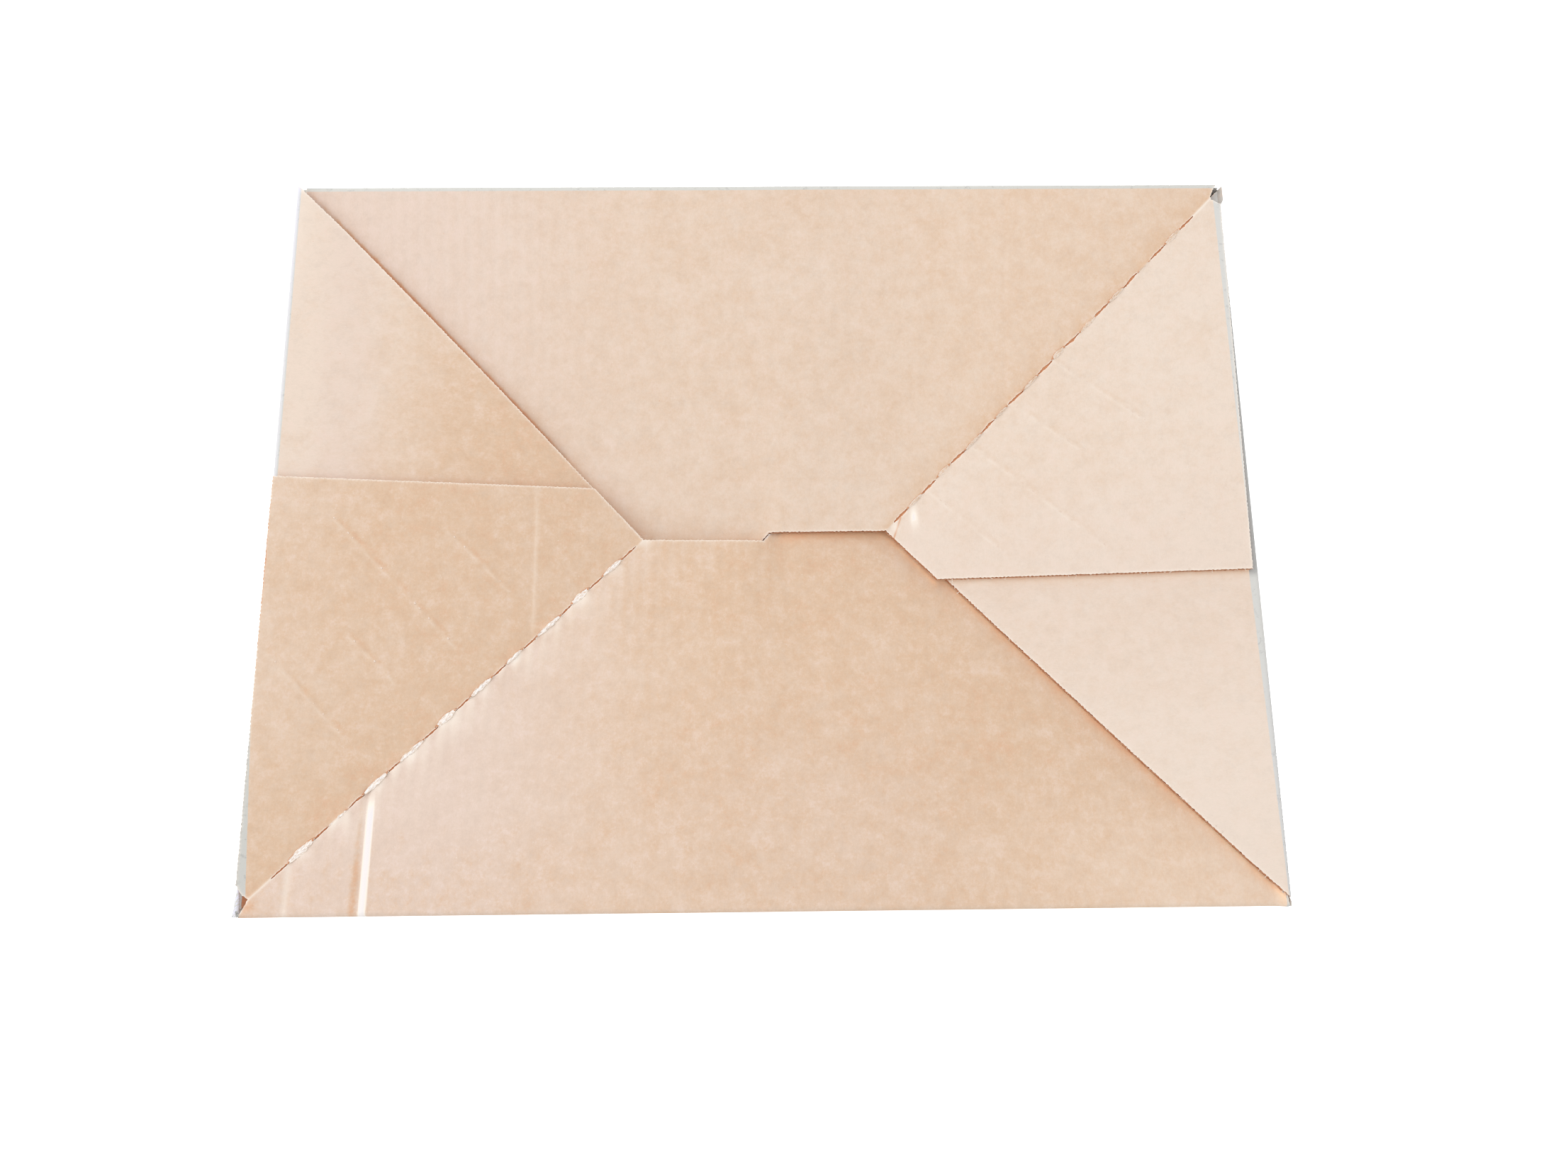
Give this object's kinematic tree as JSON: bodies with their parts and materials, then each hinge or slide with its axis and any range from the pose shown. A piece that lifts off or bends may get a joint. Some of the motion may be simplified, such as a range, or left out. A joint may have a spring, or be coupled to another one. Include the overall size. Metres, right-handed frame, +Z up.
{
  "type": "auto-lock bottom carton",
  "caption": "Rectangular corrugated carton standing bottom up on its open rim, its interlocking bottom flaps dished inwards and held by glued corner tabs.",
  "frame": {"origin": "middle of the footprint, in the plane of the open rim that the carton stands on", "axes": "+X along the length, +Y across the width towards the far flap, +Z up towards the closed bottom"},
  "size_m": [0.45, 0.34, 0.2412],
  "materials": {
    "board": "matte kraft liner with a faint flute pattern, printed pale grey on the walls' outside"
  },
  "bodies": {
    "root": {"carton": "board"}
  },
  "joints": []
}
